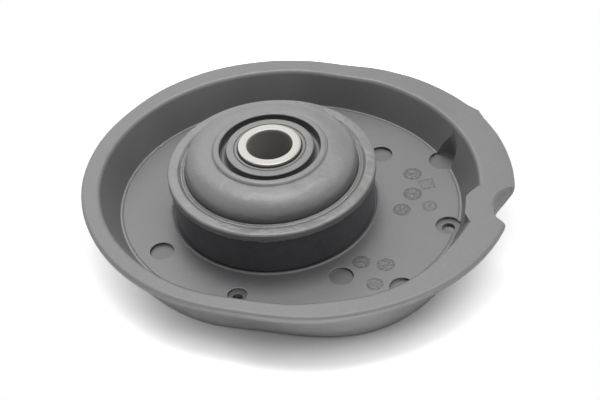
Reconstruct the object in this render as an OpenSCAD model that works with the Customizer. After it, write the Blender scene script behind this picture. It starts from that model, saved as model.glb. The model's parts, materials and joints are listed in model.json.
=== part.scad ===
// Strut mount: an oval spring seat dish that carries a rubber bushed hub on a thrust ball bearing.
// Origin on the rod axis, level with the dish floor. +Z runs up the rod, out of the dish.

/* [Spring seat] */
// Mean radius of the dish floor
floor_r = 67.6; // [66:0.1:70]
// How far the sloped wall runs outward from floor to rim
wall_run = 6.8; // [5:0.1:9]
// Mean width of the flat rim
rim_w = 9.4; // [7:0.1:12]
// Height of the rim above the floor
rim_h = 13.4; // [11:0.1:16]
// Thickness of the rim's overhanging lip
lip_t = 4; // [3:0.1:5]
// Long half axis of floor and mouth, less the mean radius
bowl_oval = 3.2; // [0:0.1:4]
// Long half axis of the outer rim, less the mean radius
rim_oval = 4.6; // [0:0.1:6]
// Direction of the long axis
oval_dir = -18; // [-90:1:90]
// Spring axis, to the right of the rod axis
bowl_x = 6; // [3:0.1:8]
// Spring axis, behind the rod axis
bowl_y = -0.8; // [-3:0.1:3]
// How far the outer rim is moved on to the right of the bowl
rim_x = 3; // [0:0.1:4]
// Thickness of the floor
floor_t = 3.5; // [3:0.1:4.5]
// Depth of the base below the floor's top
base_depth = 8; // [7:0.1:10]
// Thickness of the ring that the dish stands on
skirt_t = 3; // [2.5:0.1:4]
// How far the outer wall stands outside the inner one
wall_out = 3; // [2.4:0.1:4]
// Rounding of the rim's outer edge
rim_round = 1.4; // [1:0.1:3]
// Rounding of the mouth's edge
mouth_round = 1.4; // [0.8:0.1:2.4]
// Width of the gutter along the wall's foot
gutter_w = 1.4; // [1.2:0.1:3]
// Depth of that gutter
gutter_depth = 0.4; // [0.3:0.1:0.8]

/* [Seat details] */
// Diameter of the round recesses in the floor
recess_d = 9.6; // [7:0.1:11]
// Depth of the round recesses
recess_depth = 1.3; // [0.6:0.1:1.8]
// Distance of the recesses from the rod axis
recess_r = 52.2; // [51:0.1:54]
// Head diameter of the stepped holes
step_d = 10.2; // [8:0.1:12]
// Through diameter of the stepped holes
hole_d = 5; // [3:0.1:6]
// Head and through diameter of the front hole, as a share of the side hole's
front_share = 0.75; // [0.6:0.05:1]
// Diameter of the pocket that scallops the wall
pocket_d = 11.6; // [9:0.1:14]
// Width of the notch in the rim's edge
notch_w = 22; // [14:0.5:24]
// Depth of the notch in the rim's edge
notch_depth = 6.4; // [4:0.1:8]
// Direction of the notch from the bowl's axis
notch_dir = -18; // [-40:1:0]
// Slope of the notch's long flank
flank_slope = 4; // [0:1:30]
// Diameter of the round scoop in that flank
scoop_d = 18; // [16:0.2:20]
// How far the scoop bites in at the rim's top
scoop_in = 2.8; // [1.5:0.1:3.2]
// How far the rim is widened inward beside the notch
platform_in = 4.8; // [2:0.1:6]
// Number of ribs under the dish
rib_n = 12; // [6:1:18]
// Thickness of the ribs
rib_t = 2.2; // [1.5:0.1:3]
// How far the ribs stay above the plane that the dish stands on
rib_up = 1; // [0.5:0.1:1.5]
// Outer radius of the ring that guides the spring's end coil
guide_r = 49; // [47:0.1:52]
// Thickness of the rings under the dish
ring_t = 2.6; // [2:0.1:3.5]
// Gap between the collar and the bead round its foot
bead_gap = 0.5; // [0.3:0.05:1]
// Width of that bead
bead_w = 0.8; // [0.6:0.05:1.2]
// Height of that bead
bead_h = 0.5; // [0.3:0.05:0.8]

/* [Bearing] */
// Space for the outer seal, between the seat's boss and the collar's skirt
seal_space = 2.4; // [2:0.1:3]
// Wall of the spigot that centres the lower race
spigot_t = 0.78; // [0.6:0.02:1.2]
// Height of the spigot above the boss
spigot_h = 1; // [0.6:0.1:1.4]
// Thickness of the seal ring on the cap's inner skirt
seal_w = 1; // [0.8:0.1:1.4]
// Length of that seal ring
inner_seal_h = 4; // [3:0.1:5]
// Height of the outer seal's foot above the floor
seal_foot = 1.2; // [0.8:0.1:1.6]
// Height of the outer seal
outer_seal_h = 3.4; // [2.6:0.1:4]
// Thickness of the seals' lips
seal_lip = 0.8; // [0.6:0.1:1]
// Diameter of a ball
ball_d = 5.5; // [5:0.05:6]
// Number of balls
ball_n = 22; // [12:1:26]
// Thickness of each race
race_t = 1.6; // [1.4:0.05:2.2]
// Width of each race
race_w = 6.6; // [6:0.1:7]
// Gap between the two races
race_gap = 4.1; // [3.8:0.05:4.4]
// Height of the boss that carries the lower race
boss_h = 5.2; // [4.6:0.1:6.5]
// Play between a ball and its groove or pocket
ball_play = 0.1; // [0.06:0.01:0.15]
// Height of the ball cage
cage_h = 2; // [1.5:0.1:2.6]
// Rim of the ball cage beside its pockets
cage_rim = 0.7; // [0.5:0.05:1]
// Running gap between the turning hub and the dish
run_gap = 0.4; // [0.3:0.05:0.6]

/* [Hub] */
// Bore for the strut's rod
rod_d = 18; // [14:0.1:20]
// Outer diameter of the steel sleeve
sleeve_d = 25.5; // [23:0.1:27]
// Length of the steel sleeve
sleeve_len = 38; // [34:0.5:42]
// Chamfer on the sleeve's ends
sleeve_edge = 0.8; // [0.4:0.1:1.2]
// How far the sleeve stands above the rubber boss
sleeve_proud = 1; // [0.4:0.1:2]
// Diameter of the rubber boss round the sleeve
boss_d = 35.4; // [33:0.1:37]
// Width of the groove between boss and dome
groove_w = 2.7; // [2:0.1:3.5]
// Depth of the groove between boss and dome
groove_depth = 5.6; // [4:0.1:9]
// Width of the flange ring, from the dome's foot to its edge
flange_w = 7.1; // [6:0.1:8]
// Height of the rubber dome above the flange's underside
dome_h = 12.6; // [11:0.1:14]
// Width of the rolled lip round the dome's mouth
lip_w = 3; // [2:0.1:4]
// Rounding of the lip's inner edge and of the boss
lip_edge = 0.5; // [0.3:0.1:0.8]
// Power of the dome's shoulder: 1 is an ellipse, less is fuller
shoulder = 0.88; // [0.7:0.02:1.1]
// Outer diameter of the flange ring
flange_d = 84.4; // [76:0.1:92]
// Thickness of the flange ring
flange_t = 3.2; // [2.6:0.1:4]
// Rounding of the flange ring's edge
flange_round = 1.9; // [1:0.1:2.4]
// Width of the flat that bears on the body's tower
seat_w = 2.4; // [1.6:0.1:3]
// How far the band round the dome's foot lies below that flat
bead_drop = 0.8; // [0.5:0.05:1.2]
// Outer diameter of the dark collar
collar_d = 82.8; // [75:0.1:90]
// Wall of the collar's outer skirt
collar_wall = 2.4; // [2:0.1:2.8]
// Thickness of the bearing cap's web
web_t = 3; // [2:0.1:4]
// Wall of the cap's inner skirt
inner_wall = 1.6; // [1.3:0.1:1.8]
// Sheet thickness of the steel can in the rubber
can_t = 1.7; // [1.2:0.1:2]
// Length of the can's tube below its flange
can_len = 12; // [8:0.5:14]
// How far the can's tube stands out below the rubber
can_show = 1; // [0.5:0.1:2]
// Length of the rubber's cone along the sleeve, below the can
cone_len = 5; // [3:0.1:6]
// Thickness of the rubber at the cone's end
cone_t = 2; // [1:0.1:3]
// Gap between parts that are bonded or pressed together
bond = 0.02; // [0.01:0.01:0.05]

/* [Hidden] */
sides = 96;
$fn = 96;
mouth_r = floor_r + wall_run;
rim_r = mouth_r + rim_w;
base_r = floor_r + wall_out;
under_lip = rim_h - lip_t;
slope = wall_run / rim_h;
through = 60;

// Where the outlines leave the oval, as [direction from the bowl's axis, how far out]
rim_swells = [[-180, -0.2], [-135, 0.6], [-108, -1.4], [-84, 0], [-45, 0.3], [0, 0.3], [15, 0.7], [18.75, 0.9],
    [22.5, 2], [26.25, 0.7], [45, 0.5], [56, -0.2], [70, -1.7], [84, -0.5], [96, 0.4], [112, 0.8], [124, 0.5],
    [145, -0.7], [160, -0.5], [180, -0.2]];
mouth_swells = [[-180, 0], [-130, 0], [-108, -1.5], [-86, 0], [-61, 2], [-36, 0], [50, 0], [68, -1.3], [86, 0],
    [180, 0]];
base_swells = [[-180, 0], [-125, 0], [-105, -1.6], [-66, 4.7], [-20, 0], [180, 0]];
no_swells = [[-180, 0], [180, 0]];
// Outline of the widened rim, as [share of platform_in from the mouth inward, share of the notch's half width]
platform_shape = [[-0.6, 1], [0.25, 0.83], [0.83, 0.4], [1, 0.2], [0.86, -0.3], [0.75, -0.7], [0.17, -1.1],
    [-0.6, -1.15]];
// Outline of the notch, as [share of notch_depth from the edge inward, share of its half width]
notch_shape = [[-0.7, 1.6], [0.2, 1], [1, -0.25], [1, -0.46], [0.75, -0.71], [0.1, -1], [-0.7, -1.2]];
// The notch's long flank runs between these two corners
flank_ends = [notch_shape[2], notch_shape[1]];
// Height of the scoop's centre above the rim
scoop_up = 0.8 * lip_t;
// Rounding of the mouth's edge, as [share of mouth_round outward, share of it down]
mouth_curve = [[-slope, 1], [-slope / 4, 0.4], [0.4, 0.08], [1, 0]];
// Lower edge of the lip, as [share of lip_t inward, share of it up]
lip_curve = [[0.08, 0.2], [0.25, 0]];
// Cove under the lip, as [share of the way from lip to wall, share of lip_t down]
cove_curve = [[0.4, 0.1], [0.75, 0.33], [1, 1]];

rod_r = rod_d / 2;
sleeve_r = sleeve_d / 2;
rubber_boss_r = boss_d / 2;
lip_r = rubber_boss_r + groove_w;
flange_r = flange_d / 2;
dome_r = flange_r - flange_w;

// Radii of the bearing and what it carries, from the collar inward
collar_r = collar_d / 2;
skirt_r = collar_r - collar_wall;
race_out = skirt_r - seal_space;
pitch_r = race_out - race_w / 2;
race_in = race_out - race_w;
seat_bore_r = race_in - bond - spigot_t;
// The inner seal fills the gap between skirt and seat bore, less a running gap
inner_skirt_r = seat_bore_r - run_gap - seal_w;
cap_bore_r = inner_skirt_r - inner_wall;
can_r = cap_bore_r - bond - can_t;

// Heights of the bearing stack, from the floor up
lower_face = boss_h + race_t;
ball_z = lower_face + race_gap / 2;
upper_face = lower_face + race_gap;
web_z = upper_face + race_t;
can_z = web_z + web_t;
flange_z = can_z + can_t;
flange_top = flange_z + flange_t;
dome_top = flange_z + dome_h;
sleeve_top = dome_top + sleeve_proud;

ball_r = ball_d / 2;
track_r = ball_r + ball_play;
// Snap barb of the cap's inner skirt, under the dish
barb_out = 1;
barb_h = 1.6;
barb_r = seat_bore_r + barb_out;
hub_ring_in = barb_r + 2 * run_gap;
// Small chamfers, and lead in of the snap barb
edge_break = 0.3;
lead_in = 0.5;
// How far joined pieces run into each other, and what a bore takes off
overlap = 1;
// Direction in which the dome's rolled lip leaves its crease
crease_dir = 20;

// Directions of the recesses from the rod axis
recess_dirs = [-153, -63, 28, 72, 117];
// Places of the holes, the pocket and the recess at the wall's front
front_hole = [-17, -52];
side_hole = [68.7, -23];
pocket_at = [71.6, 17.2];
wall_recess = [46.5, -55];

function ball_name(i) = str("ball_", i < 10 ? "0" : "", i);

// Smooth value between the entries of a swell table
function swell(table, t) =
    let (k = max([for (i = [0:len(table) - 2]) if (t >= table[i][0]) i]),
         u = (t - table[k][0]) / (table[k + 1][0] - table[k][0]))
    table[k][1] + (table[k + 1][1] - table[k][1]) * u * u * (3 - 2 * u);

// One closed ring of points at height z: mean radius, plus a share that swings twice a turn, plus the swell
function oval_ring(r, oval, x, z, table) =
    [for (i = [0:sides - 1])
        let (t = 360 * i / sides - 180, q = r + oval * cos(2 * (t - oval_dir)) + swell(table, t))
        [bowl_x + x + q * cos(t), bowl_y + q * sin(t), z]];

function floor_ring(r, z) = oval_ring(r, bowl_oval, 0, z, no_swells);
function mouth_ring(r, z) = oval_ring(r, bowl_oval, 0, z, mouth_swells);
function base_ring(r, z) = oval_ring(r, bowl_oval, 0, z, base_swells);
function rim_ring(r, z) = oval_ring(r, rim_oval, rim_x, z, rim_swells);

// Ring a share s of the way from ring a to ring b, at height z
function between(a, b, s, z) =
    [for (i = [0:sides - 1])
        [a[i].x + (b[i].x - a[i].x) * s, a[i].y + (b[i].y - a[i].y) * s, z]];

// Arc of points about (r, z) from angle a to angle b, for turned profiles
function arc(r, z, radius, a, b, steps = 8) =
    [for (i = [0:steps])
        let (t = a + (b - a) * i / steps)
        [r + radius * cos(t), z + radius * sin(t)]];

// Solid between closed rings of points, the last ring joined to the first
module loft(rings) {
    count = len(rings);
    points = [for (ring = rings) each ring];
    faces = [for (k = [0:count - 1]) for (i = [0:sides - 1])
        let (j = (i + 1) % sides, m = (k + 1) % count)
        [k * sides + i, k * sides + j, m * sides + j, m * sides + i]];
    polyhedron(points, faces, convexity = 6);
}

// Flat ring between two radii
module ring(inner, outer, z0, z1) {
    rotate_extrude()
        translate([inner, z0])
            square([outer - inner, z1 - z0]);
}

module plain_bore(r) {
    translate([0, 0, -through / 2])
        cylinder(r = r, h = through);
}

// Sloped wall, rim and base ring of the dish, lofted round the oval
module seat_wall() {
    buried = floor_t - overlap;
    foot = gutter_depth / 2;
    under = [for (p = lip_curve) rim_ring(rim_r - lip_t * p[0], under_lip + lip_t * p[1])];
    lip = under[len(under) - 1];
    wall = base_ring(mouth_r + wall_out - slope * lip_t, under_lip);
    inner = [
        floor_ring(floor_r - gutter_w - wall_out, -buried),
        floor_ring(floor_r - gutter_w - gutter_depth, -bond),
        floor_ring(floor_r - gutter_w / 2, -gutter_depth),
        floor_ring(floor_r - gutter_depth / 2, -gutter_depth),
        floor_ring(floor_r + slope * gutter_depth, gutter_depth)];
    mouth = [for (p = mouth_curve) mouth_ring(mouth_r + mouth_round * p[0], rim_h - mouth_round * p[1])];
    edge = [for (p = arc(rim_r - rim_round, rim_h - rim_round, rim_round, 90, 0, 5)) rim_ring(p.x, p.y)];
    cove = [for (p = cove_curve) between(lip, wall, p[0], under_lip - lip_t * p[1])];
    base = [
        base_ring(base_r, -base_depth + edge_break),
        base_ring(base_r - edge_break, -base_depth),
        base_ring(base_r - skirt_t, -base_depth),
        base_ring(base_r - skirt_t, -floor_t + foot)];
    loft(concat(inner, mouth, edge, under, cove, base));
}

// Oval plate on the floor's underside
module plate(r, h) {
    translate([0, 0, -floor_t])
        linear_extrude(h)
            polygon([for (p = floor_ring(r, 0)) [p.x, p.y]]);
}

// Floor: a plate up to the gutter, and a thinner one whose edge is buried in the wall
module seat_floor() {
    plate(floor_r - gutter_w, floor_t);
    plate(floor_r + wall_out / 3, floor_t / 2);
}

// The rim is widened inward beside the notch: a block between bowl and outer wall
module notch_platform() {
    mouth = mouth_r + bowl_oval;
    intersection() {
        loft([
            floor_ring(floor_r - wall_run, -floor_t / 2),
            floor_ring(floor_r - wall_run, rim_h),
            floor_ring(mouth_r + wall_out / 2, rim_h),
            floor_ring(floor_r + wall_out / 2, -floor_t / 2)]);
        translate([bowl_x, bowl_y, -floor_t])
            rotate(notch_dir)
                linear_extrude(rim_h + 2 * floor_t)
                    polygon([for (p = platform_shape) [mouth - platform_in * p[0], notch_w / 2 * p[1]]]);
    }
}

function notch_point(p) = [rim_r + rim_oval + rim_x - notch_depth * p[0], notch_w / 2 * p[1]];

// Notch in the rim's outer edge: a long flank with a slope and a round scoop, and a short upright one
module notch_cut() {
    inner = notch_point(flank_ends[0]);
    run = notch_point(flank_ends[1]) - inner;
    past = lip_t;
    scoop_r = scoop_d / 2;
    scoop_out = sqrt(scoop_r * scoop_r - scoop_up * scoop_up) - scoop_in;
    translate([bowl_x, bowl_y, under_lip])
        rotate(notch_dir) {
            translate([0, 0, -past])
                linear_extrude(lip_t + 2 * past)
                    polygon([for (p = notch_shape) notch_point(p)]);
            translate([inner.x, inner.y, 0])
                rotate([-flank_slope, 0, atan2(run.y, run.x)])
                    translate([0, -2 * past, -past])
                        cube([notch_w, 2 * past, 4 * past]);
            translate([inner.x, inner.y, lip_t + scoop_up])
                rotate(atan2(run.y, run.x))
                    translate([norm(run) / 2, -scoop_out, 0])
                        sphere(r = scoop_r);
        }
}

// Rings, ribs and coil stop under the dish
module seat_underside() {
    rib_h = base_depth - floor_t;
    rib_end = guide_r - ring_t / 2;
    ring(hub_ring_in, hub_ring_in + ring_t, -base_depth, -floor_t / 2);
    translate([bowl_x, bowl_y])
        ring(guide_r - ring_t, guide_r, -base_depth, -floor_t / 2);
    intersection() {
        for (i = [0:rib_n - 1])
            rotate(360 * i / rib_n)
                translate([hub_ring_in + ring_t / 2, -rib_t / 2, -base_depth + rib_up])
                    cube([guide_r, rib_t, rib_h]);
        translate([bowl_x, bowl_y, -base_depth])
            cylinder(r = rib_end, h = base_depth);
    }
    translate([bowl_x, bowl_y])
        rotate(oval_dir - 45)
            translate([guide_r - ring_t / 2, -rib_t, -base_depth + rib_up])
                cube([floor_r - guide_r + ring_t, 2 * rib_t, rib_h]);
}

// Boss that carries the lower race, with a spigot that centres it
module bearing_boss() {
    inner = seat_bore_r - overlap;
    ring(inner, race_out, -floor_t / 2, boss_h);
    ring(inner, race_in - bond, boss_h - overlap, boss_h + spigot_h);
}

// Thin bead on the floor round the collar's foot
module collar_bead() {
    inner = collar_r + bead_gap;
    rotate_extrude()
        polygon(concat(
            [[inner, -floor_t / 2], [inner + bead_w, -floor_t / 2]],
            arc(inner + bead_w / 2, bead_h - bead_w / 2, bead_w / 2, 0, 180, 6)));
}

module recess(d, depth) {
    translate([0, 0, -depth])
        cylinder(d = d, h = through);
}

module stepped_hole(at, head, bore) {
    translate([at.x, at.y, 0]) {
        recess(head, recess_depth);
        plain_bore(bore / 2);
    }
}

module spring_seat() {
    color("dimgray")
        difference() {
            union() {
                seat_wall();
                seat_floor();
                notch_platform();
                seat_underside();
                bearing_boss();
                collar_bead();
            }
            plain_bore(seat_bore_r);
            notch_cut();
            for (a = recess_dirs)
                rotate(a)
                    translate([recess_r, 0, 0])
                        recess(recess_d, recess_depth);
            stepped_hole(side_hole, step_d, hole_d);
            stepped_hole(front_hole, step_d * front_share, hole_d * front_share);
            translate([pocket_at.x, pocket_at.y, 0])
                recess(pocket_d, recess_depth);
            translate([wall_recess.x, wall_recess.y, 0])
                cylinder(d = recess_d, h = 2 * recess_depth, center = true);
        }
}

// Ring shaped track that the balls run in
module ball_track() {
    rotate_extrude()
        translate([pitch_r, ball_z])
            circle(r = track_r);
}

module lower_race() {
    color("silver")
        difference() {
            ring(race_in, race_out, boss_h, lower_face);
            ball_track();
        }
}

module upper_race() {
    color("silver")
        difference() {
            ring(race_in, race_out, upper_face, web_z);
            ball_track();
        }
}

module ball_place(i) {
    rotate(360 * (i - 1) / ball_n)
        translate([pitch_r, 0, 0])
            children();
}

module ball_cage() {
    half = track_r + cage_rim;
    color("ivory")
        difference() {
            ring(pitch_r - half, pitch_r + half, ball_z - cage_h / 2, ball_z + cage_h / 2);
            for (i = [1:ball_n])
                ball_place(i)
                    plain_bore(track_r);
        }
}

module ball(i) {
    color("lightgray")
        ball_place(i)
            translate([0, 0, ball_z])
                sphere(d = ball_d);
}

// Dark collar: outer skirt, web over the bearing, and an inner skirt with a snap barb under the dish
module bearing_cap() {
    barb_top = -floor_t - run_gap;
    snap_end = barb_top - barb_h;
    color([0.1, 0.1, 0.11])
        rotate_extrude()
            polygon([
                [cap_bore_r, snap_end],
                [inner_skirt_r + run_gap, snap_end],
                [barb_r, barb_top - lead_in],
                [barb_r, barb_top],
                [inner_skirt_r, barb_top],
                [inner_skirt_r, web_z],
                [race_out + bond, web_z],
                [race_out + bond, web_z - race_t / 2],
                [skirt_r, web_z - race_t / 2],
                [skirt_r, run_gap],
                [collar_r - edge_break, run_gap],
                [collar_r, run_gap + edge_break],
                [collar_r, flange_z],
                [skirt_r, flange_z],
                [skirt_r, can_z],
                [cap_bore_r, can_z]]);
}

// Lip seal under the collar's skirt, running beside the boss
module outer_seal() {
    inner = race_out + run_gap;
    outer = skirt_r - bond;
    top = seal_foot + outer_seal_h;
    middle = seal_foot + outer_seal_h / 2;
    color("black")
        rotate_extrude()
            polygon([
                [outer, seal_foot],
                [outer, top],
                [outer - seal_lip, top],
                [inner, middle],
                [inner, middle - seal_lip],
                [outer - seal_lip, middle - seal_lip / 2],
                [outer - seal_lip, seal_foot]]);
}

// Seal ring on the inner skirt, running in the seat's bore
module inner_seal() {
    inner = inner_skirt_r + bond;
    outer = inner_skirt_r + seal_w;
    back = inner + seal_w / 2;
    half = inner_seal_h / 2;
    color("black")
        rotate_extrude()
            polygon([
                [inner, -half],
                [back, -half],
                [outer, -seal_lip / 2],
                [outer, seal_lip / 2],
                [back, seal_lip],
                [back, half],
                [inner, half]]);
}

// Pressed steel can that takes the rubber's load down to the bearing cap
module bush_can() {
    color("slategray")
        rotate_extrude()
            polygon(concat(
                [[can_r, flange_z - can_len], [can_r + can_t, flange_z - can_len],
                 [can_r + can_t, can_z], [skirt_r - bond, can_z], [skirt_r - bond, flange_z]],
                arc(can_r + can_t, flange_z - can_t, can_t, 90, 180, 4)));
}

// Rubber: domed top with a rolled lip, a deep groove, and a boss bonded to the sleeve
module rubber_block() {
    foot_z = flange_top - bead_drop;
    crease_r = lip_r + lip_w;
    crease_z = dome_top - lip_w / 3;
    drop = crease_z - foot_z;
    reach = dome_r - bond - crease_r;
    dome = [for (i = [0:14])
        let (t = 90 * i / 14)
        [crease_r + reach * pow(cos(t), shoulder), foot_z + drop * pow(sin(t), shoulder)]];
    boss_top = dome_top - edge_break;
    groove_z = boss_top - groove_depth;
    inner = sleeve_r + bond;
    ridge = (rubber_boss_r - inner) / 3;
    rubber_end = flange_z - can_len + can_show;
    cone_z = rubber_end - cone_len;
    color("gray")
        rotate_extrude()
            polygon(concat(
                [[inner, cone_z], [inner + cone_t, cone_z], [can_r - bond, rubber_end],
                 [can_r - bond, flange_z - can_t]],
                arc(can_r + can_t, flange_z - can_t, can_t + bond, 180, 90, 4),
                [[dome_r - bond, flange_z + bond]],
                dome,
                arc(crease_r - lip_w / 2, dome_top - lip_w / 2, lip_w / 2, crease_dir, 90, 6),
                arc(lip_r + lip_edge, dome_top - lip_edge, lip_edge, 90, 180, 4),
                arc(rubber_boss_r + groove_w / 2, groove_z, groove_w / 2, 0, -180, 6),
                [[rubber_boss_r, boss_top - lip_edge], [rubber_boss_r - lip_edge, boss_top],
                 [inner + ridge + edge_break, boss_top], [inner + ridge, boss_top - edge_break],
                 [inner + ridge - edge_break, boss_top], [inner, boss_top]]));
}

// Flange ring round the dome's foot: thin inner bead, shallow band, flat seat and a rounded edge
module flange_ring() {
    inner = dome_r;
    edge = flange_round;
    bead = lip_edge;
    band = flange_top - bead_drop;
    seat = flange_r - edge - seat_w;
    color("darkgray")
        rotate_extrude()
            polygon(concat(
                [[inner, flange_z + bond], [flange_r - edge_break, flange_z + bond]],
                arc(flange_r - edge, flange_top - edge, edge, -10, 90, 8),
                [[seat, flange_top], [seat - bead_drop, band]],
                arc(inner + bead, band, bead, 20, 180, 6)));
}

// Steel sleeve that the strut's rod passes through
module inner_sleeve() {
    foot = sleeve_top - sleeve_len;
    color("gainsboro")
        rotate_extrude()
            polygon([
                [rod_r, foot + sleeve_edge / 2],
                [rod_r + sleeve_edge / 2, foot],
                [sleeve_r - sleeve_edge, foot],
                [sleeve_r, foot + sleeve_edge],
                [sleeve_r, sleeve_top - sleeve_edge],
                [sleeve_r - sleeve_edge, sleeve_top],
                [rod_r + sleeve_edge / 2, sleeve_top],
                [rod_r, sleeve_top - sleeve_edge / 2]]);
}

spring_seat();
lower_race();
ball_cage();
for (i = [1:ball_n]) ball(i);
upper_race();
bearing_cap();
outer_seal();
inner_seal();
bush_can();
rubber_block();
flange_ring();
inner_sleeve();
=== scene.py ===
"""Strut mount: an oval spring seat dish with a rubber bushed hub that turns on a hidden ball bearing.

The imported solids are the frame. The hub's sleeve, rubber and flange are finer surfaces of revolution, and
the dish is a copy of its solid with rounded edges. The collar and all that is hidden are the solids.
"""
import json
import math

import bmesh
import bpy
import numpy as np
from mathutils import Matrix, Vector


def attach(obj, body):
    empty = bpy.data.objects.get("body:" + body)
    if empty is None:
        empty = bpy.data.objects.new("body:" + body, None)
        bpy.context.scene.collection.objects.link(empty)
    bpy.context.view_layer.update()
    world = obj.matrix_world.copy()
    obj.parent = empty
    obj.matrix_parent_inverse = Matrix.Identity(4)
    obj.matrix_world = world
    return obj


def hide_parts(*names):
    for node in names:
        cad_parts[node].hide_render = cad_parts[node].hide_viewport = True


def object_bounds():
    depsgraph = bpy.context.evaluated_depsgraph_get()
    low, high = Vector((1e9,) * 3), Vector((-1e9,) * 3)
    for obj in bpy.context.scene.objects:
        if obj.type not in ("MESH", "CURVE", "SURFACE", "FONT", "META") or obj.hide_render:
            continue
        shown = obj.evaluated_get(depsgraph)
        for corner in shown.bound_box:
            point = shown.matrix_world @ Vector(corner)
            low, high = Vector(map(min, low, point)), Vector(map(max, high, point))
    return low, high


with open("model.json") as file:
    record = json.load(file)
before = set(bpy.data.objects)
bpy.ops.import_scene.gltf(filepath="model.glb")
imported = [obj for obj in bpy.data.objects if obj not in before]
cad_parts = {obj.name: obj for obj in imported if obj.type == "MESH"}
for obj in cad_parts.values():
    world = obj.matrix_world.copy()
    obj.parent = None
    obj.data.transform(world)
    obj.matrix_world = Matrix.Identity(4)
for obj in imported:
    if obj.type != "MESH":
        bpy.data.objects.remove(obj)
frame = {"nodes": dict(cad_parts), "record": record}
cad_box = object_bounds()
NODES = frame["nodes"]
MM = 0.001

# Camera, as measured on the picture: 600 x 400, the hub axis square to the dish
IMAGE_WIDTH = 600
FOCAL_PIXELS = 1507.3
SENSOR_MM = 36.0
LOOK_AT = (10.25 * MM, -0.36 * MM, 0.0)
DISTANCE = 621 * MM
ELEVATION = math.radians(41.8)
ROLL = math.radians(4.87)

# The hub's outlines, in millimetres: the solids' sizes, apart from the groove, which is less deep here
ROD_R = 9.0
SLEEVE_R, SLEEVE_TOP, SLEEVE_FOOT = 12.75, 30.8, -7.2
BOSS_R, BOSS_TOP = 17.7, 29.5
GROOVE_W, GROOVE_Z = 2.7, 26.65
LIP_R, LIP_W, DOME_TOP = 20.4, 3.0, 29.8
DOME_R, DOME_FOOT = 35.08, 19.6
FLANGE_Z, FLANGE_TOP, FLANGE_R = 17.22, 20.4, 42.2
CAN_R, CAN_T, CAN_NECK = 24.46, 1.72, 15.5
BLOCK_FOOT, CONE_TOP = 1.2, 6.2
TURN_STEPS = 240

# The dish, in millimetres: the bowl's axis, the rim, its rounded edges and the hole whose floor is painted
# dark with shade
BOWL_AXIS = (6.0, -0.8)
RIM_TOP, RIM_FOOT = 13.4, 8.0
EDGE_ROUND = 0.25
SHADED_HOLE = (-17.0, -52.0)

# The notch in the rim, in its own frame: x outwards from the bowl's axis, y across
NOTCH_TURN = math.radians(-18)
NOTCH_EDGE, NOTCH_DEPTH, NOTCH_HALF = 91.4, 6.4, 11.0
NOTCH_CORNER = (84.9, -2.7)
FLANK_MIDDLE = (NOTCH_EDGE - 0.6 * NOTCH_DEPTH, 0.375 * NOTCH_HALF)
FLANK_RUN = (0.8 * NOTCH_DEPTH, 1.25 * NOTCH_HALF)
SCOOP_R, SCOOP_UP, SCOOP_BITE = 12.0, 6.3, 3.8

# Heights over the dish's floor, in millimetres, between which a tone goes from none to full
# A band of heights has two such pairs, for its two ends
# BELOW_RIM, RECESS_FLOOR, RECESS_WALL and LIP_SIDE place painted shade, and DOME_SHADE and GROOVE_WALL
# painted shade on the dome; SCOOP_FLOOR, LIP_EDGE and GUTTER place painted highlight, and UNDER_LIP and
# WALL_FOOT painted bounce light.
BELOW_RIM = (13.38, 12.9)
SCOOP_FLOOR = (13.39, 13.2)
LIP_EDGE = ((11.8, 12.7), (13.39, 13.3))
LIP_SIDE = ((9.2, 10.0), (12.8, 11.8))
UNDER_LIP = (10.0, 9.2)
WALL_FOOT = (4.0, -7.0)
GUTTER = ((-0.02, -0.1), (-0.6, -0.5))
RECESS_FLOOR = (-0.3, -1.0)
RECESS_WALL = ((-0.1, -0.3), (-3.0, -2.6))
DOME_SHADE = (26.5, 20.5)
GROOVE_WALL = ((GROOVE_Z - 1.05, GROOVE_Z - 0.25), (DOME_TOP - 0.2, DOME_TOP - 0.8))

# Distances from an upright axis, in millimetres, between which a tone goes from none to full
# These reaches bound painted shade and painted highlight on the dish.
FLOOR_REACH = (69.5, 68.5)
GUTTER_REACH = (62.0, 63.5)
HOLE_SHADE_REACH = (4.2, 3.0)
SCOOP_REACH = (8.0, 5.0)


def make_camera():
    """Pinhole camera in front of the part, turned about its own view axis by the roll."""
    data = bpy.data.cameras.new("photo_camera")
    data.sensor_width = SENSOR_MM
    data.lens = SENSOR_MM * FOCAL_PIXELS / IMAGE_WIDTH
    camera = bpy.data.objects.new("photo_camera", data)
    bpy.context.scene.collection.objects.link(camera)
    right = Vector((1, 0, 0))
    up = Vector((0, math.sin(ELEVATION), math.cos(ELEVATION)))
    back = Vector((0, -math.cos(ELEVATION), math.sin(ELEVATION)))
    c, s = math.cos(ROLL), math.sin(ROLL)
    x_axis = right * c - up * s
    y_axis = right * s + up * c
    turn = Matrix((x_axis, y_axis, back)).transposed().to_4x4()
    camera.matrix_world = Matrix.Translation(Vector(LOOK_AT) + back * DISTANCE) @ turn
    bpy.context.scene.camera = camera


def notch_frame(x, y, z=0.0):
    """Point of the part's frame in metres, from the notch's own frame in millimetres."""
    c, s = math.cos(NOTCH_TURN), math.sin(NOTCH_TURN)
    return Vector((BOWL_AXIS[0] + x * c - y * s, BOWL_AXIS[1] + x * s + y * c, z)) * MM


# Shader helpers

def new_material(name):
    """Material with its node tree and its Principled shader."""
    material = bpy.data.materials.new(name)
    material.use_nodes = True
    tree = material.node_tree
    return material, tree, tree.nodes["Principled BSDF"]


def node(tree, kind, **values):
    """One shader node. Values named for an input socket are set there, the others on the node itself."""
    made = tree.nodes.new(kind)
    for key, value in values.items():
        name = key.replace("_", " ")
        if name in made.inputs:
            made.inputs[name].default_value = value
        else:
            setattr(made, key, value)
    return made


def feed(tree, socket, value):
    """Set a number or a colour on an input socket, or link another socket to it."""
    if isinstance(value, tuple):
        socket.default_value = (*value, 1.0)
    elif isinstance(value, (int, float)):
        socket.default_value = value
    else:
        tree.links.new(value, socket)


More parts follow.
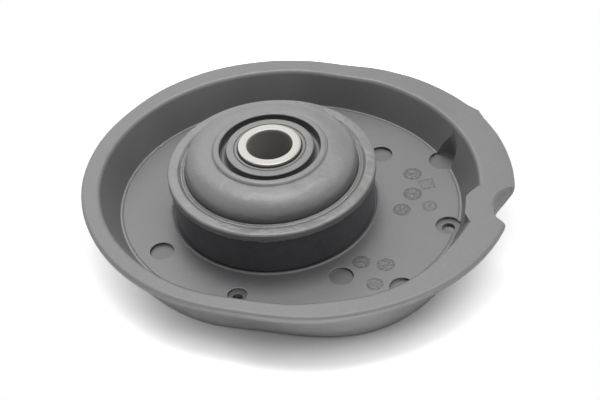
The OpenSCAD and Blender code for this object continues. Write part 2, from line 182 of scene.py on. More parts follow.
def new_group(name, inputs, outputs):
    """Shader node group and its inner sockets: float inputs with their usual values, float outputs."""
    group = bpy.data.node_groups.new(name, "ShaderNodeTree")
    for label, usual in inputs.items():
        socket = group.interface.new_socket(label, in_out="INPUT", socket_type="NodeSocketFloat")
        socket.default_value = usual
    for label in outputs:
        group.interface.new_socket(label, in_out="OUTPUT", socket_type="NodeSocketFloat")
    return group, group.nodes.new("NodeGroupInput").outputs, group.nodes.new("NodeGroupOutput").inputs


def use_group(tree, group, **values):
    """Outputs of a group that is placed in a material with its own values."""
    placed = tree.nodes.new("ShaderNodeGroup")
    placed.node_tree = group
    for key, value in values.items():
        placed.inputs[key.replace("_", " ")].default_value = value
    return placed.outputs


def on_part(tree):
    """Place of the shaded point on the part, in metres."""
    return tree.nodes.new("ShaderNodeTexCoord").outputs["Object"]


def facing(tree):
    """Direction in which the surface faces."""
    return tree.nodes.new("ShaderNodeNewGeometry").outputs["Normal"]


def axes(tree, vector):
    """The X, Y and Z of a vector."""
    split = tree.nodes.new("ShaderNodeSeparateXYZ")
    tree.links.new(vector, split.inputs["Vector"])
    return split.outputs


def ramp(tree, source, stops):
    """Colour ramp of grey stops, as (place, grey) pairs."""
    made = tree.nodes.new("ShaderNodeValToRGB")
    elements = made.color_ramp.elements
    while len(elements) < len(stops):
        elements.new(0.5)
    for element, (place, grey) in zip(elements, stops):
        element.position = place
        element.color = (grey, grey, grey, 1)
    tree.links.new(source, made.inputs["Fac"])
    return made.outputs["Color"]


def noise(tree, place, scale, detail, roughness=0.5):
    """Noise over a place. The scale is a socket or a number."""
    made = node(tree, "ShaderNodeTexNoise", Detail=detail, Roughness=roughness)
    tree.links.new(place, made.inputs["Vector"])
    feed(tree, made.inputs["Scale"], scale)
    return made.outputs["Fac"]


def math_node(tree, operation, first, second=0.0):
    """Math node. Each operand is a socket or a number."""
    made = node(tree, "ShaderNodeMath", operation=operation)
    feed(tree, made.inputs[0], first)
    feed(tree, made.inputs[1], second)
    return made.outputs["Value"]


def times(tree, *factors):
    """Product of masks and numbers."""
    product = factors[0]
    for factor in factors[1:]:
        product = math_node(tree, "MULTIPLY", product, factor)
    return product


def largest(tree, *masks):
    """The largest of some masks at each point."""
    total = masks[0]
    for mask in masks[1:]:
        total = math_node(tree, "MAXIMUM", total, mask)
    return total


def rest_of(tree, mask):
    """What a mask leaves out."""
    return math_node(tree, "SUBTRACT", 1.0, mask)


def fade_node(tree, value, start, end):
    """Value that goes smoothly from 0 at start to 1 at end. Start may be the larger."""
    made = node(tree, "ShaderNodeMapRange", interpolation_type="SMOOTHSTEP", From_Min=start, From_Max=end)
    tree.links.new(value, made.inputs["Value"])
    return made.outputs["Result"]


def band_node(tree, value, middle, start, end):
    """Value that goes smoothly from 0 at one distance from a middle to 1 at another."""
    away = math_node(tree, "ABSOLUTE", math_node(tree, "SUBTRACT", value, middle))
    return fade_node(tree, away, start, end)


def spread_node(tree, value, low, high):
    """Value from 0 to 1 spread evenly between low and high."""
    made = node(tree, "ShaderNodeMapRange", To_Min=low, To_Max=high)
    tree.links.new(value, made.inputs["Value"])
    return made.outputs["Result"]


def away_from(tree, x, y, stretch=1.0):
    """Distance from an upright axis at x, y in metres. A stretch over 1 counts more along x."""
    shift = node(tree, "ShaderNodeMapping", Location=(-stretch * x, -y, 0.0), Scale=(stretch, 1.0, 0.0))
    tree.links.new(on_part(tree), shift.inputs["Vector"])
    length = node(tree, "ShaderNodeVectorMath", operation="LENGTH")
    tree.links.new(shift.outputs["Vector"], length.inputs[0])
    return length.outputs["Value"]


def toned(colour, share):
    """A colour darker or lighter by a share."""
    return tuple(share * v for v in colour)


def blend_colour(tree, mask, low, high):
    """Colour between low and high by a mask. Low and high are colours or sockets."""
    mix = node(tree, "ShaderNodeMix", data_type="RGBA")
    tree.links.new(mask, mix.inputs["Factor"])
    feed(tree, mix.inputs[6], low)
    feed(tree, mix.inputs[7], high)
    return mix.outputs[2]


def add_bump(tree, shader, height, strength, distance):
    """Bump from a height into the shader's normal."""
    bump = node(tree, "ShaderNodeBump", Strength=strength, Distance=distance)
    tree.links.new(height, bump.inputs["Height"])
    tree.links.new(bump.outputs["Normal"], shader.inputs["Normal"])


# Effects that materials share

def moulded_grain_group():
    """Fine grain and slow cloudiness of a moulded surface: a height, a cloud value and a speckle mask."""
    group, given, result = new_group(
        "moulded_grain", {"Grain Size": 2200.0, "Cloud Size": 40.0}, ["Height", "Cloud", "Speckle"])
    place = on_part(group)
    fine = noise(group, place, given["Grain Size"], 3.0, 0.6)
    cloud = noise(group, place, given["Cloud Size"], 4.0, 0.55)
    speck = noise(group, place, times(group, given["Grain Size"], 0.35), 2.0, 0.7)
    group.links.new(fine, result["Height"])
    group.links.new(cloud, result["Cloud"])
    group.links.new(ramp(group, speck, [(0.60, 0.0), (0.74, 1.0)]), result["Speckle"])
    return group


def edge_wear_and_shade_group():
    """Rubbed edges, lighter partly with painted highlight, and hollows for painted shade, from how far the
    surface bends: masks Edge and Hollow.

    Level faces are left out, because the bend is known at their corners only.
    """
    group, given, result = new_group("edge_wear_and_shade", {"Patch Size": 260.0}, ["Edge", "Hollow"])
    bend = group.nodes.new("ShaderNodeNewGeometry").outputs["Pointiness"]
    sloped = fade_node(group, axes(group, facing(group))["Z"], 0.995, 0.97)
    patch = noise(group, on_part(group), given["Patch Size"], 4.0)
    broken = ramp(group, patch, [(0.35, 0.4), (0.65, 1.0)])
    convex = ramp(group, bend, [(0.505, 0.0), (0.56, 1.0)])
    concave = ramp(group, bend, [(0.44, 1.0), (0.495, 0.0)])
    group.links.new(times(group, convex, broken, sloped), result["Edge"])
    group.links.new(times(group, concave, sloped), result["Hollow"])
    return group


def turned_rings_group():
    """Fine concentric marks about the rod axis: a height, a streak value and the distance to the axis."""
    group, given, result = new_group("turned_rings", {"Pitch": 9000.0}, ["Height", "Streak", "Radius"])
    radius = away_from(group, 0.0, 0.0)
    pair = group.nodes.new("ShaderNodeCombineXYZ")
    group.links.new(radius, pair.inputs["X"])
    group.links.new(axes(group, on_part(group))["Z"], pair.inputs["Y"])
    streak = noise(group, pair.outputs["Vector"], given["Pitch"], 3.0)
    group.links.new(streak, result["Height"])
    group.links.new(streak, result["Streak"])
    group.links.new(radius, result["Radius"])
    return group


def mould_dial_group():
    """Engraved mark of a mould insert on the dish floor: ring or square, teeth and a bar, patchy with age.

    Distances are in shares of the mark's radius.
    """
    outline_at, teeth_at, teeth_count = 0.92, 0.66, 9.0
    group, given, result = new_group(
        "mould_dial",
        {"X": 0.0, "Y": 0.0, "Radius": 0.003, "Turn": 0.0, "Square": 0.0, "Teeth": 0.0, "Bar": 0.0},
        ["Mask"])
    place = on_part(group)
    at = axes(group, place)

    def calc(operation, first, second=0.0):
        return math_node(group, operation, first, second)

    dx = calc("DIVIDE", calc("SUBTRACT", at["X"], given["X"]), given["Radius"])
    dy = calc("DIVIDE", calc("SUBTRACT", at["Y"], given["Y"]), given["Radius"])
    cos_turn, sin_turn = calc("COSINE", given["Turn"]), calc("SINE", given["Turn"])
    u = calc("ADD", calc("MULTIPLY", dx, cos_turn), calc("MULTIPLY", dy, sin_turn))
    v = calc("SUBTRACT", calc("MULTIPLY", dy, cos_turn), calc("MULTIPLY", dx, sin_turn))
    round_away = calc("SQRT", calc("ADD", calc("MULTIPLY", u, u), calc("MULTIPLY", v, v)))
    square_away = calc("MAXIMUM", calc("ABSOLUTE", u), calc("ABSOLUTE", v))
    swing = calc("MULTIPLY", calc("SUBTRACT", square_away, round_away), given["Square"])
    away = calc("ADD", round_away, swing)
    line = band_node(group, away, outline_at, 0.26, 0.08)
    comb = calc("COSINE", calc("MULTIPLY", calc("ARCTAN2", v, u), teeth_count))
    tooth_ring = band_node(group, away, teeth_at, 0.22, 0.10)
    teeth = times(group, fade_node(group, comb, 0.0, 0.5), tooth_ring, given["Teeth"])
    slim = times(group, band_node(group, v, 0.0, 0.22, 0.10), band_node(group, u, 0.0, 0.62, 0.50))
    bar = times(group, slim, given["Bar"])
    level = band_node(group, at["Z"], 0.0, 0.4 * MM, 0.2 * MM)
    worn = noise(group, place, 900.0, 2.0)
    patchy = times(group, fade_node(group, worn, 0.38, 0.62), fade_node(group, away, 1.0, 0.8), 0.7)
    aged = calc("ADD", 0.45, fade_node(group, worn, 0.35, 0.55))
    group.links.new(times(group, largest(group, line, teeth, bar, patchy), aged, level), result["Mask"])
    return group


GRAIN = moulded_grain_group()
WEAR_AND_SHADE = edge_wear_and_shade_group()
RINGS = turned_rings_group()
DIAL = mould_dial_group()

# Marks of the mould's inserts: x, y and radius in millimetres, turn in radians, then the shares of the
# square, the teeth and the bar, and the strength of it all
DIALS = [
    (58.0, 10.0, 3.5, 0.2, 0, 0, 1.0, 0.85), (56.6, -2.3, 3.6, -0.1, 0, 0.8, 0.8, 0.90),
    (51.2, -11.4, 3.3, 0.4, 0, 1.0, 1.0, 1.00), (62.7, -10.6, 2.9, 0.9, 0, 0.6, 0.8, 0.55),
    (41.6, -42.3, 3.3, 0.5, 0, 1.0, 0.8, 0.75), (36.3, -52.4, 3.1, -0.3, 0, 0.8, 0.8, 0.70),
    (32.1, -39.7, 3.2, 0.0, 0, 0.8, 0.8, 0.70), (63.1, 3.0, 2.9, 0.15, 1, 0, 0, 0.50)]


# Masks of places on the part, in millimetres

def dial_marks(tree):
    """All marks of the mould's inserts in one mask."""
    masks = []
    for x, y, radius, turn, square, teeth, bar, strength in DIALS:
        mark = use_group(tree, DIAL, X=x * MM, Y=y * MM, Radius=radius * MM, Turn=turn, Square=square,
                         Teeth=teeth, Bar=bar)
        masks.append(times(tree, mark["Mask"], strength))
    return largest(tree, *masks)


def height_fade(tree, start, end):
    """Mask that goes from 0 at one height to 1 at another."""
    return fade_node(tree, axes(tree, on_part(tree))["Z"], start * MM, end * MM)


def height_band(tree, one_end, other_end):
    """Mask of a band of heights, from the fades at its two ends."""
    return times(tree, height_fade(tree, *one_end), height_fade(tree, *other_end))


def near_axis(tree, place, start, end):
    """Mask that goes from 0 at one distance from an upright axis to 1 at another."""
    x, y = place
    return fade_node(tree, away_from(tree, x * MM, y * MM), start * MM, end * MM)


def facing_up(tree):
    """Mask of the level faces that look up."""
    return fade_node(tree, axes(tree, facing(tree))["Z"], 0.6, 0.9)


def facing_out(tree):
    """Mask of the faces that look away from the rod axis: the normal along the way out from it."""
    level = node(tree, "ShaderNodeVectorMath", operation="MULTIPLY")
    level.inputs[1].default_value = (1, 1, 0)
    tree.links.new(on_part(tree), level.inputs[0])
    along = node(tree, "ShaderNodeVectorMath", operation="DOT_PRODUCT")
    tree.links.new(level.outputs["Vector"], along.inputs[0])
    tree.links.new(facing(tree), along.inputs[1])
    return fade_node(tree, along.outputs["Value"], 20 * MM, 50 * MM)


def shaded_recess_walls(tree):
    """Mask of the upright walls of the holes and recesses in the dish's floor, painted dark with shade."""
    within = near_axis(tree, BOWL_AXIS, *FLOOR_REACH)
    return times(tree, within, rest_of(tree, facing_up(tree)), height_band(tree, *RECESS_WALL))


def shaded_groove_walls(tree):
    """Mask of the walls of the rubber's ring groove, painted dark with shade."""
    half = GROOVE_W / 2
    radius = away_from(tree, 0.0, 0.0)
    across = band_node(tree, radius, (BOSS_R + half) * MM, (half + 0.4) * MM, (half + 0.1) * MM)
    return times(tree, across, height_band(tree, *GROOVE_WALL))


def dish_tones(tree, dark, worn):
    """Masks and colours of painted shade and painted light, laid over the dish's plastic in turn.

    The bowl, its recesses and the lip's side are darker with painted shade. The lip's edge, partly rubbed,
    the scoop and the gutter are lighter with painted highlight, and the wall under the lip with painted
    bounce light.
    """
    outside = facing_out(tree)
    sunk = times(tree, facing_up(tree), height_fade(tree, *RECESS_FLOOR))
    hole_shade = times(tree, near_axis(tree, SHADED_HOLE, *HOLE_SHADE_REACH), sunk)
    edge = times(tree, height_band(tree, *LIP_EDGE), outside)
    flank = notch_frame(*FLANK_MIDDLE) / MM
    scoop = times(tree, near_axis(tree, flank.xy, *SCOOP_REACH), height_fade(tree, *SCOOP_FLOOR))
    floor_edge = times(tree, near_axis(tree, BOWL_AXIS, *GUTTER_REACH), rest_of(tree, outside))
    gutter = times(tree, height_band(tree, *GUTTER), floor_edge)
    # Painted highlight on the lip's edge, partly rubbed wear, on the scoop and in the gutter.
    rubbed_and_highlit = largest(tree, times(tree, edge, 0.35), times(tree, scoop, 0.5), times(tree, gutter, 0.35))
    # Painted shade below the rim, on the recesses' floors and walls, in the hole and on the lip's side;
    # painted highlight on the lip's edge, the scoop and the gutter; painted bounce light under the lip and
    # towards the wall's foot.
    return [
        (times(tree, height_fade(tree, *BELOW_RIM), 0.26), toned(dark, 0.5)),
        (times(tree, sunk, 0.85), toned(dark, 0.5)),
        (times(tree, hole_shade, 0.8), toned(dark, 0.2)),
        (times(tree, shaded_recess_walls(tree), 0.85), toned(dark, 0.1)),
        (rubbed_and_highlit, worn),
        (times(tree, outside, height_band(tree, *LIP_SIDE), 0.45), toned(dark, 0.5)),
        (times(tree, outside, height_fade(tree, *UNDER_LIP), 0.5), worn),
        (times(tree, outside, height_fade(tree, *WALL_FOOT), 0.6), toned(worn, 1.5))]


def dome_tones(tree, dark, worn):
    """Mask and colour of painted shade laid over the dome's rubber: a darker foot and a dark groove, with
    no worn tone.
    """
    foot = times(tree, height_fade(tree, *DOME_SHADE), 0.8)
    return [(largest(tree, foot, times(tree, shaded_groove_walls(tree), 0.9)), toned(dark, 0.3))]


# Materials

def moulded_material(name, dark, light, worn, rough, gloss=0.5, grain=2200.0, cloud=40.0, bump=0.25,
                     sway=0.0, tones=None, marks=None):
    """Moulded plastic or rubber: cloudy two-tone colour, rubbed edges lighter partly with painted
    highlight, painted shade in hollows, fine grain.

    dark and light are the tones of the cloud, worn the tone of rubbed edges and of painted highlights,
    rough the roughness's two ends and sway the height of slow waves against the grain's. tones gives masks
    and colours of painted shade and light that are laid over all this in turn, and marks the mask of an
    engraving, darkened with painted shade.
    """
    material, tree, shader = new_material(name)
    shader.inputs["Specular IOR Level"].default_value = gloss
    surface = use_group(tree, GRAIN, Grain_Size=grain, Cloud_Size=cloud)
    wear_and_shade = use_group(tree, WEAR_AND_SHADE)
    # Lighter edges are partly rubbed wear and partly painted highlight; darker hollows are painted shade.
    layers = [
        (times(tree, surface["Speckle"], 0.25), worn),
        (times(tree, wear_and_shade["Edge"], 0.7), worn),
        (times(tree, wear_and_shade["Hollow"], 0.35), toned(dark, 0.5))]
    height = surface["Height"]
    if sway:
        height = math_node(tree, "ADD", height, times(tree, surface["Cloud"], sway))
    if tones:
        layers += tones(tree, dark, worn)
    if marks:
        # The engraving's darker tone is painted shade in its lines.
        engraved = marks(tree)
        layers.append((engraved, toned(dark, 0.1)))
        height = math_node(tree, "SUBTRACT", height, times(tree, engraved, 3.0))
    colour = blend_colour(tree, ramp(tree, surface["Cloud"], [(0.32, 0.0), (0.68, 1.0)]), dark, light)
    for mask, tone in layers:
        colour = blend_colour(tree, mask, colour, tone)
    tree.links.new(colour, shader.inputs["Base Color"])
    tree.links.new(spread_node(tree, surface["Cloud"], *rough), shader.inputs["Roughness"])
    add_bump(tree, shader, height, bump, 0.05 * MM)
    return material


def steel_material(name, dark, light, rough, pitch=9000.0, bump=0.12, bore=None):
    """Turned or pressed steel: streaks about the rod axis in colour, roughness and height.

    bore is the radius in millimetres and the colour of a bore that is left as drawn, dull inside.
    """
    material, tree, shader = new_material(name)
    marks = use_group(tree, RINGS, Pitch=pitch)
    wear_and_shade = use_group(tree, WEAR_AND_SHADE)
    colour = blend_colour(tree, marks["Streak"], dark, light)
    # Painted shade in the hollows.
    colour = blend_colour(tree, times(tree, wear_and_shade["Hollow"], 0.5), colour, toned(dark, 0.4))
    roughness = spread_node(tree, marks["Streak"], *rough)
    shader.inputs["Metallic"].default_value = 1.0
    if bore:
        radius, dull = bore
        inside = fade_node(tree, marks["Radius"], (radius + 0.45) * MM, (radius + 0.15) * MM)
        colour = blend_colour(tree, inside, colour, dull)
        roughness = largest(tree, roughness, times(tree, inside, 0.7))
        tree.links.new(rest_of(tree, inside), shader.inputs["Metallic"])
    tree.links.new(roughness, shader.inputs["Roughness"])
    tree.links.new(colour, shader.inputs["Base Color"])
    add_bump(tree, shader, marks["Height"], bump, 0.03 * MM)
    return material


MATERIALS = {
    "seat_plastic": moulded_material(
        "seat_plastic", (0.162, 0.163, 0.169), (0.195, 0.196, 0.201), (0.34, 0.34, 0.335), (0.38, 0.50),
        gloss=1.0, tones=dish_tones, marks=dial_marks),
    "collar_plastic": moulded_material(
        "collar_plastic", (0.050, 0.051, 0.060), (0.064, 0.065, 0.075), (0.10, 0.10, 0.11), (0.36, 0.46),
        gloss=0.8),
    "bush_rubber": moulded_material(
        "bush_rubber", (0.194, 0.197, 0.195), (0.238, 0.241, 0.237), (0.32, 0.32, 0.32), (0.30, 0.48),
        gloss=1.0, grain=3200.0, cloud=60.0, bump=0.15, sway=180.0, tones=dome_tones),
    "flange_rubber": moulded_material(
        "flange_rubber", (0.200, 0.200, 0.198), (0.245, 0.245, 0.241), (0.34, 0.34, 0.34), (0.26, 0.40),
        gloss=1.0, grain=3200.0, cloud=60.0, bump=0.15, sway=300.0),
    "seal_rubber": moulded_material(
        "seal_rubber", (0.015, 0.015, 0.016), (0.022, 0.022, 0.023), (0.04, 0.04, 0.04), (0.45, 0.55)),
    "cage_nylon": moulded_material(
        "cage_nylon", (0.55, 0.50, 0.38), (0.64, 0.59, 0.46), (0.72, 0.68, 0.58), (0.38, 0.46)),
    "sleeve_steel": steel_material(
        "sleeve_steel", (0.31, 0.30, 0.281), (0.38, 0.368, 0.346), (0.18, 0.26),
        bore=(ROD_R, (0.38, 0.375, 0.36))),
    "bearing_steel": steel_material(
        "bearing_steel", (0.55, 0.55, 0.57), (0.68, 0.68, 0.70), (0.16, 0.26)),
    "can_steel": steel_material(
        "can_steel", (0.30, 0.31, 0.33), (0.40, 0.41, 0.43), (0.34, 0.46), pitch=4000.0),
}


def finish_solids():
    """Every solid gets its slot's material."""
    for part in frame["record"]["subparts"]:
        solid = NODES[part["node"]]
        solid.data.materials.clear()
        solid.data.materials.append(MATERIALS[part["material_slot"]])


# Floor and light, in metres

FLOOR_HALF = 6.0
# The floor's colour holds a painted contact shadow near the part, from SHADOW_TONE in the shade to
# OPEN_TONE, and a painted lift of that shadow at the left.
CONTACT_REACH = 0.03
SHADOW_TONE, OPEN_TONE, BOUNCE_TONE = (1.05, 1.05, 1.05), (2.35, 2.35, 2.35), (0.85, 0.85, 0.85)
LEFT_SIDE, LEFT_LIFT = (-0.005, -0.035), 0.45
SHADOW_MIDDLE, SHADOW_STRETCH, SHADOW_FADE = (0.008, -0.01), 1.75, (0.08, 0.175)
SKY_LIGHT, SKY_SEEN = 0.12, 1.0


def seen_directly(tree):
    """1 where the camera sees the surface, also in a mirror or through glass."""
    rays = tree.nodes.new("ShaderNodeLightPath").outputs
    return largest(tree, rays["Is Camera Ray"], rays["Is Glossy Ray"], rays["Is Transmission Ray"])


def bench_white():
    """White that shows the part's soft shadow, deepened near the part by a painted contact shadow and
    lifted by painted light at the left, and is plain white further off.
    """
    material = bpy.data.materials.new("bench_white")
    material.use_nodes = True
    tree = material.node_tree
    tree.nodes.clear()
    out = tree.nodes.new("ShaderNodeOutputMaterial")
    seen = seen_directly(tree)
    # Painted contact shadow from ambient occlusion, and a painted lift on the left.
    close = node(tree, "ShaderNodeAmbientOcclusion", Distance=CONTACT_REACH)
    lit = ramp(tree, close.outputs["AO"], [(0.2, 0.0), (0.9, 1.0)])
    left = times(tree, fade_node(tree, axes(tree, on_part(tree))["X"], *LEFT_SIDE), LEFT_LIFT)
    shown = blend_colour(tree, math_node(tree, "ADD", lit, left), SHADOW_TONE, OPEN_TONE)
    matt = tree.nodes.new("ShaderNodeBsdfDiffuse")
    tree.links.new(blend_colour(tree, seen, BOUNCE_TONE, shown), matt.inputs["Color"])
    glow = node(tree, "ShaderNodeEmission", Color=(1, 1, 1, 1), Strength=1.0)
    far = fade_node(tree, away_from(tree, *SHADOW_MIDDLE, SHADOW_STRETCH), *SHADOW_FADE)
    mix = tree.nodes.new("ShaderNodeMixShader")
    tree.links.new(times(tree, seen, far), mix.inputs["Fac"])
    tree.links.new(matt.outputs["BSDF"], mix.inputs[1])
    tree.links.new(glow.outputs["Emission"], mix.inputs[2])
    tree.links.new(mix.outputs["Shader"], out.inputs["Surface"])
    return material


def make_stage():
    """Wide square floor under the part."""
    sides = ((-1, -1), (1, -1), (1, 1), (-1, 1))
    corners = [(x * FLOOR_HALF, y * FLOOR_HALF, cad_box[0].z) for x, y in sides]
    mesh = bpy.data.meshes.new("bench")
    mesh.from_pydata(corners, [], [(0, 1, 2, 3)])
    mesh.materials.append(bench_white())
    bench = bpy.data.objects.new("bench", mesh)
    bpy.context.scene.collection.objects.link(bench)


def make_lamp(name, place, aim, size, power):
    """Soft lamp at a place, shining along aim."""
    data = bpy.data.lights.new(name, "AREA")
    data.shape = "RECTANGLE"
    data.size, data.size_y = size
    data.energy = power
    lamp = bpy.data.objects.new(name, data)
    lamp.location = place
    lamp.rotation_euler = Vector(aim).to_track_quat("-Z", "Y").to_euler()
    lamp.visible_camera = False
    bpy.context.scene.collection.objects.link(lamp)


def make_light():
    """Softboxes overhead and behind, a card on the floor in front, and a dim sky.

    The sky is white where it is seen or mirrored.
    """
    make_lamp("overhead_softbox", (0.4, 0.05, 1.5), (-0.4, -0.05, -1.5), (1.7, 1.7), 11.6)
    make_lamp("overhead_core", (0.0, 0.55, 1.45), (0, -0.55, -1.45), (0.6, 0.6), 6.0)
    make_lamp("back_softbox", (-0.55, 1.35, 1.15), (0.55, -1.35, -1.15), (1.4, 1.0), 5.2)
    make_lamp("front_card", (0.01, -0.125, cad_box[0].z + 0.001), (0, 0, 1), (0.8, 0.08), 0.22)
    world = bpy.data.worlds.new("pale_sky")
    bpy.context.scene.world = world
    world.use_nodes = True
    tree = world.node_tree
    sky = tree.nodes["Background"]
    sky.inputs["Color"].default_value = (1, 1, 1, 1)
    tree.links.new(spread_node(tree, seen_directly(tree), SKY_LIGHT, SKY_SEEN), sky.inputs["Strength"])
    bpy.context.scene.view_settings.view_transform = "Standard"


# Turned pieces

def arc(r, z, radius, start, end, steps=10):
    """Points of a round corner about (r, z), from one angle in degrees to another."""
    t = np.radians(np.linspace(start, end, steps))
    return np.stack([r + radius * np.cos(t), z + radius * np.sin(t)], -1)


def profile(*runs):
    """One closed outline from points and arcs, in millimetres."""
    return np.concatenate([np.atleast_2d(np.array(run, float)) for run in runs])


def resample(outline, step):
    """Outline without doubled points, and with extra ones so that no stretch is longer than step.

    Even stretches keep the shading even.
    """
    outline = outline[np.linalg.norm(np.roll(outline, -1, 0) - outline, axis=1) > 1e-6]
    ends = np.roll(outline, -1, 0)
    parts = np.maximum(1, np.ceil(np.linalg.norm(ends - outline, axis=1) / step).astype(int))
    pieces = [a + (b - a) * (np.arange(n) / n)[:, None] for a, b, n in zip(outline, ends, parts)]
    return np.concatenate(pieces)


def grid_faces(rows, columns):
    """Quads of a grid that closes on itself both ways, row by row."""
    i, j = np.meshgrid(np.arange(rows), np.arange(columns), indexing="ij")
    here = i * columns + j
    right = i * columns + (j + 1) % columns
    above = (i + 1) % rows * columns + j
    both = (i + 1) % rows * columns + (j + 1) % columns
    return np.stack([here, right, both, above], -1).reshape(-1, 4)


def mesh_piece(name, points, faces, slot):
    """Smooth shaded object from arrays of points in millimetres and quads, with its slot's material."""
    mesh = bpy.data.meshes.new(name)
    mesh.vertices.add(len(points))
    mesh.vertices.foreach_set("co", (points * MM).astype(np.float32).ravel())
    mesh.loops.add(faces.size)
    mesh.loops.foreach_set("vertex_index", faces.astype(np.int32).ravel())
    mesh.polygons.add(len(faces))
    mesh.polygons.foreach_set("loop_start", np.arange(0, faces.size, 4, dtype=np.int32))
    mesh.polygons.foreach_set("use_smooth", np.ones(len(faces), bool))
    mesh.update(calc_edges=True)
    mesh.validate()
    mesh.materials.append(MATERIALS[slot])
    piece = bpy.data.objects.new(name, mesh)
    bpy.context.scene.collection.objects.link(piece)
    return piece


def turned(name, outline, slot, body, replaced, step=0.8):
    """Solid of revolution: each outline point (r, z) is carried round the rod axis, (r cos t, r sin t, z).

    The outline runs anticlockwise seen with r to the right and z up, so the faces point outwards.
    """
    outline = resample(outline, step)
    t = np.linspace(0, 2 * np.pi, TURN_STEPS, endpoint=False)
    r, z = outline[:, 0][:, None], outline[:, 1][:, None]
    points = np.stack([r * np.cos(t), r * np.sin(t), z + 0 * t], -1).reshape(-1, 3)
    piece = mesh_piece(name, points, grid_faces(len(outline), TURN_STEPS), slot)
    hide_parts(replaced)
    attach(piece, body)


def sleeve_outline():
    """Turned sleeve: square ends with broken edges, a chamfered bore."""
    return profile(
        (ROD_R, SLEEVE_FOOT + 0.4), (ROD_R + 0.4, SLEEVE_FOOT),
        arc(SLEEVE_R - 0.5, SLEEVE_FOOT + 0.5, 0.5, -90, 0, 5),
        arc(SLEEVE_R - 0.35, SLEEVE_TOP - 0.35, 0.35, 0, 90, 6),
        arc(ROD_R + 0.5, SLEEVE_TOP - 0.3, 0.3, 90, 135, 4),
        (ROD_R, SLEEVE_TOP - 0.7))


def rubber_outline():
    """Rubber block: cone under the can, dome with a full shoulder, rolled lip, round groove and boss.

    The dome is a quarter of a superellipse: cos t outwards and sin t upwards, each to a power under 1.
    """
    crease_r, crease_z = LIP_R + LIP_W, DOME_TOP - LIP_W / 3
    fullness = 0.74
    t = np.radians(np.linspace(0, 90, 40))
    dome = np.stack([crease_r + (DOME_R - crease_r) * np.cos(t) ** fullness,
                     DOME_FOOT + (crease_z - DOME_FOOT) * np.sin(t) ** fullness], -1)
    inner = SLEEVE_R + 0.02
    seam = inner + (BOSS_R - inner) / 3
    return profile(
        (inner, BLOCK_FOOT), (inner + 2, BLOCK_FOOT), (CAN_R, CONE_TOP), (CAN_R, CAN_NECK),
        arc(CAN_R + CAN_T, CAN_NECK, CAN_T, 180, 90, 6),
        (DOME_R, FLANGE_Z), dome,
        arc(crease_r - LIP_W / 2, DOME_TOP - LIP_W / 2, LIP_W / 2, 18, 90, 10),
        arc(LIP_R + 0.45, DOME_TOP - 0.45, 0.45, 90, 180, 6),
        arc(BOSS_R + GROOVE_W / 2, GROOVE_Z, GROOVE_W / 2, 0, -180, 14),
        arc(BOSS_R - 0.5, BOSS_TOP - 0.5, 0.5, 0, 90, 6),
        arc(seam + 0.4, BOSS_TOP - 0.15, 0.15, 90, 160, 4),
        (seam + 0.1, BOSS_TOP - 0.6), (seam - 0.1, BOSS_TOP - 0.6),
        arc(seam - 0.4, BOSS_TOP - 0.15, 0.15, 20, 90, 4),
        arc(inner + 0.65, BOSS_TOP - 0.3, 0.3, 90, 180, 5),
        (inner + 0.3, BOSS_TOP - 0.9), (inner, BOSS_TOP - 1.0))


def flange_outline():
    """Flange ring: thin bead at the dome's foot, shallow band, flat seat, rounded edge."""
    bead, drop, edge, foot = 0.5, 0.8, 1.0, 0.3
    band = FLANGE_TOP - drop
    seat = FLANGE_R - 4.3
    return profile(
        (DOME_R + 0.02, FLANGE_Z), arc(FLANGE_R - foot, FLANGE_Z + foot, foot, -90, 0, 4),
        arc(FLANGE_R - edge, FLANGE_TOP - edge, edge, 0, 90, 12),
        arc(seat + 0.3, FLANGE_TOP - 0.3, 0.3, 90, 135, 4),
        arc(seat - drop - 0.3, band + 0.3, 0.3, -45, -90, 4),
        arc(DOME_R + 0.02 + bead, band, bead, 20, 180, 10))


def flange_flash():
    """Ragged flash under the flange's edge: a thin skirt that hangs down by a sum of waves round the turn.

    Row k is (r_k(t) cos t, r_k(t) sin t, z_k(t)), with the rows inside top, inside foot, outside foot and
    outside top. A wave is its count round the turn, its phase and its height.
    """
    t = np.linspace(0, 2 * np.pi, 4 * TURN_STEPS, endpoint=False)
    waves = [(7, 0.5, 0.14), (19, 1.3, 0.12), (41, 2.1, 0.12), (83, 0.4, 0.10), (151, 3.3, 0.08)]
    drop = np.clip(0.22 + sum(a * np.sin(n * t + p) for n, p, a in waves), 0.04, 0.75)
    sway = 0.06 * np.sin(29 * t + 1.0) + 0.05 * np.sin(67 * t)
    outer = FLANGE_R - 0.3 + sway * drop
    root, foot = FLANGE_Z + 0.25 + 0 * t, FLANGE_Z - drop
    rows = [(outer - 0.16, root), (outer - 0.10, foot), (outer, foot), (outer - 0.02, root)]
    points = np.stack([np.stack([r * np.cos(t), r * np.sin(t), z], -1) for r, z in rows]).reshape(-1, 3)
    piece = mesh_piece("flange_flash", points, grid_faces(len(rows), len(t)), "flange_rubber")
    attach(piece, "hub")


# The dish

def scoop_ball():
    """Ball that scoops out the middle of the notch's long flank, to cut with.

    Its centre stands over the rim's top, and the circle that it cuts there bites into the flank.
    """
    along = Vector(FLANK_RUN).normalized()
    out = math.sqrt(SCOOP_R ** 2 - SCOOP_UP ** 2) - SCOOP_BITE
    x, y = FLANK_MIDDLE
    centre = notch_frame(x + out * along.y, y - out * along.x, RIM_TOP + SCOOP_UP)
    work = bmesh.new()
    bmesh.ops.create_icosphere(work, subdivisions=5, radius=SCOOP_R * MM, matrix=Matrix.Translation(centre))
    mesh = bpy.data.meshes.new("scoop_ball")
    work.to_mesh(mesh)
    work.free()
    ball = bpy.data.objects.new("scoop_ball", mesh)
    bpy.context.scene.collection.objects.link(ball)
    return ball


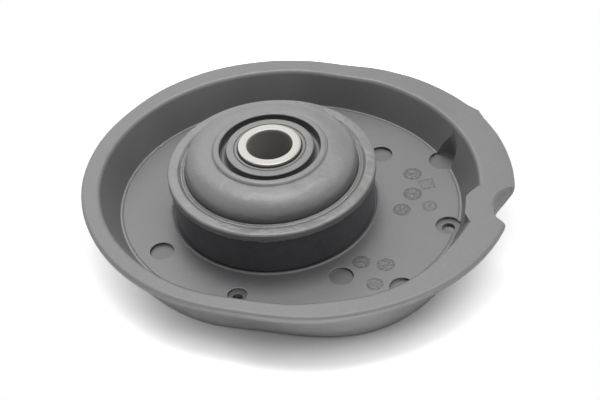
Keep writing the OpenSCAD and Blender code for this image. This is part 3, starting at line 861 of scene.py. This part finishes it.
def merged_copy(solid, name):
    """Object with a copy of a solid's mesh whose triangles are joined at their corners."""
    mesh = solid.data.copy()
    mesh.name = name
    work = bmesh.new()
    work.from_mesh(mesh)
    bmesh.ops.remove_doubles(work, verts=work.verts, dist=0.002 * MM)
    work.to_mesh(mesh)
    work.free()
    piece = bpy.data.objects.new(name, mesh)
    bpy.context.scene.collection.objects.link(piece)
    return piece


def cut_scoop(piece):
    """The piece's mesh with the scoop cut out of it, open for work."""
    ball = scoop_ball()
    cut = piece.modifiers.new("scoop", "BOOLEAN")
    cut.object = ball
    cut.solver = "EXACT"
    work = bmesh.new()
    work.from_object(piece, bpy.context.evaluated_depsgraph_get())
    piece.modifiers.clear()
    bpy.data.meshes.remove(ball.data)
    return work


def points_near(work, place, reach, over):
    """Points within reach of an upright axis and over a height, in millimetres."""
    return [v for v in work.verts if v.co.z > over * MM and (v.co.xy - place.xy).length < reach * MM]


def merge_near(work, place, reach, gap):
    """Merge the rim's points within reach of a place that lie closer than a gap to each other."""
    bmesh.ops.remove_doubles(work, verts=points_near(work, place, reach, RIM_FOOT), dist=gap * MM)


def mend_notch(work):
    """Merge the fine step at the notch's inner corner, level it with the rim, and merge short edges."""
    corner, corner_reach = notch_frame(*NOTCH_CORNER), 0.9
    merge_near(work, corner, corner_reach, gap=0.36)
    for point in points_near(work, corner, corner_reach, RIM_TOP - 0.3):
        point.co.z = RIM_TOP * MM
    merge_near(work, notch_frame(*FLANK_MIDDLE), reach=10.0, gap=0.12)


def round_edges(work):
    """Join flat neighbours and round the sharp edges."""
    flat, sharp = math.radians(0.4), math.radians(35)
    bmesh.ops.dissolve_limit(work, angle_limit=flat, use_dissolve_boundaries=False,
                             verts=work.verts, edges=work.edges)
    edges = [e for e in work.edges if e.is_manifold and e.calc_face_angle(0) > sharp]
    bmesh.ops.bevel(work, geom=edges, offset=EDGE_ROUND * MM, segments=2, profile=0.5, affect="EDGES",
                    clamp_overlap=False, loop_slide=True)
    bmesh.ops.dissolve_degenerate(work, dist=0.004 * MM, edges=work.edges)


def dish():
    """Copy of the dish's solid with a rounder notch and its sharp edges rounded as a moulding's are."""
    piece = merged_copy(NODES["spring_seat"], "dish")
    work = cut_scoop(piece)
    mend_notch(work)
    round_edges(work)
    for face in work.faces:
        face.smooth = True
    mesh = piece.data
    work.to_mesh(mesh)
    work.free()
    mesh.set_sharp_from_angle(angle=math.radians(42))
    mesh.materials.clear()
    mesh.materials.append(MATERIALS["seat_plastic"])
    even = piece.modifiers.new("even_shading", "WEIGHTED_NORMAL")
    even.keep_sharp = True
    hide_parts("spring_seat")
    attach(piece, "seat")


make_camera()
finish_solids()
make_stage()
make_light()
dish()
turned("sleeve", sleeve_outline(), "sleeve_steel", "hub", "inner_sleeve")
turned("rubber_dome", rubber_outline(), "bush_rubber", "hub", "rubber_block")
turned("flange", flange_outline(), "flange_rubber", "hub", "flange_ring")
flange_flash()
